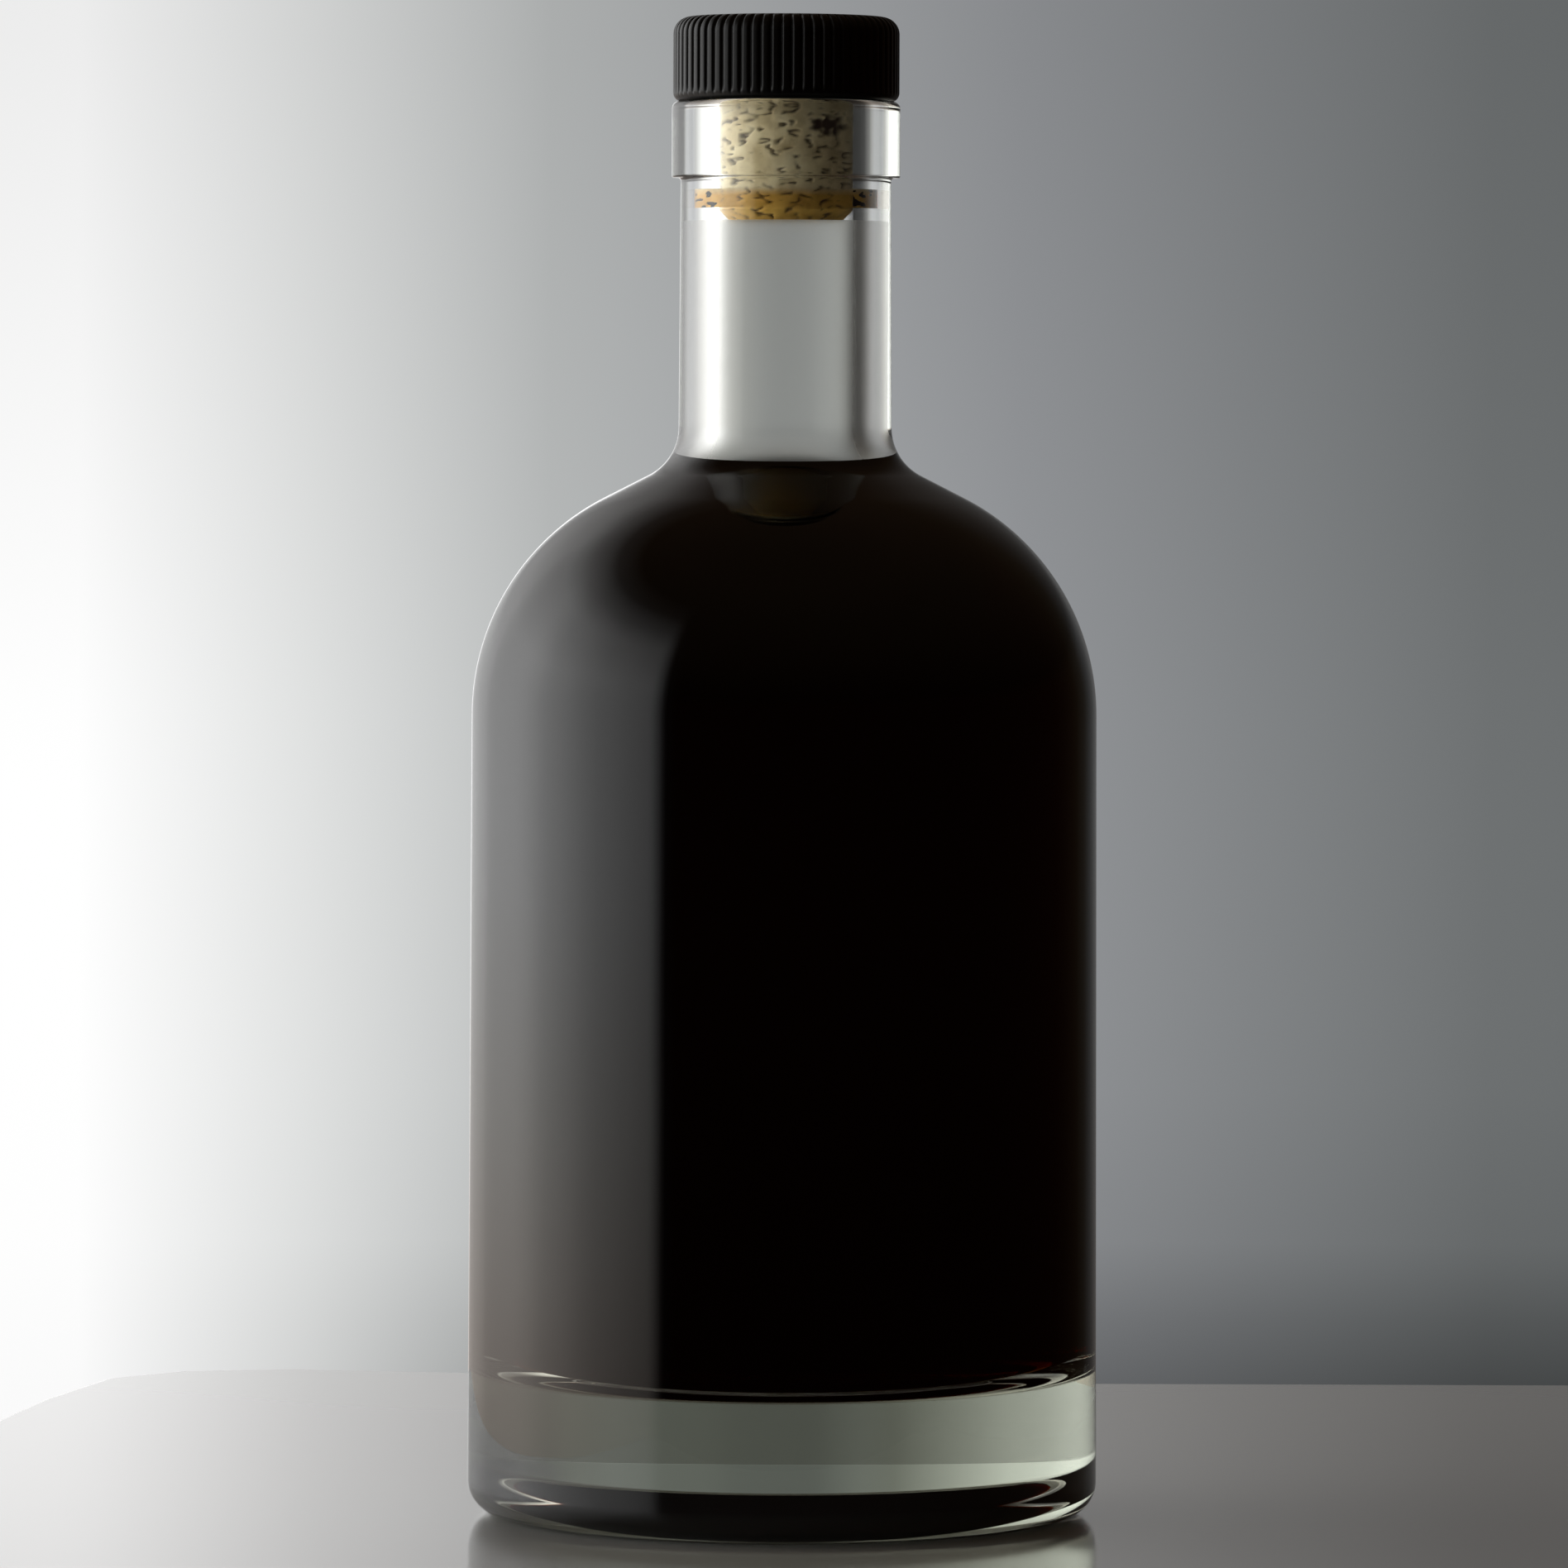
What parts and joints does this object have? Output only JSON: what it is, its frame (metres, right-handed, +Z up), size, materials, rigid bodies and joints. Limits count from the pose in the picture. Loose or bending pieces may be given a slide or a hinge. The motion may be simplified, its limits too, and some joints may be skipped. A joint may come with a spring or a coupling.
{
  "type": "bottle of whisky",
  "caption": "Clear heavy-based spirit bottle filled with dark whisky to the root of its neck, shut by a cork stopper with a ribbed black cap; stands on its foot ring.",
  "frame": {"origin": "centre of the bottle's foot, on the surface it stands on", "axes": "+Z up along the bottle's axis; the bottle and all it holds are turned about +Z, so +X and +Y are free choices"},
  "size_m": [0.0912, 0.0912, 0.2166],
  "materials": {
    "glass": "clear flint glass with a faint green-grey cast, polished",
    "whisky": "still clear liquid, so dark that only thin edges glow red-brown",
    "cork": "natural cork, matt, with dark pores and fissures; lower end wet",
    "cap": "matt black moulded plastic with fine upright grip ribs"
  },
  "bodies": {
    "root": {"bottle": "glass", "whisky": "whisky", "cork": "cork", "cap": "cap"}
  },
  "joints": []
}
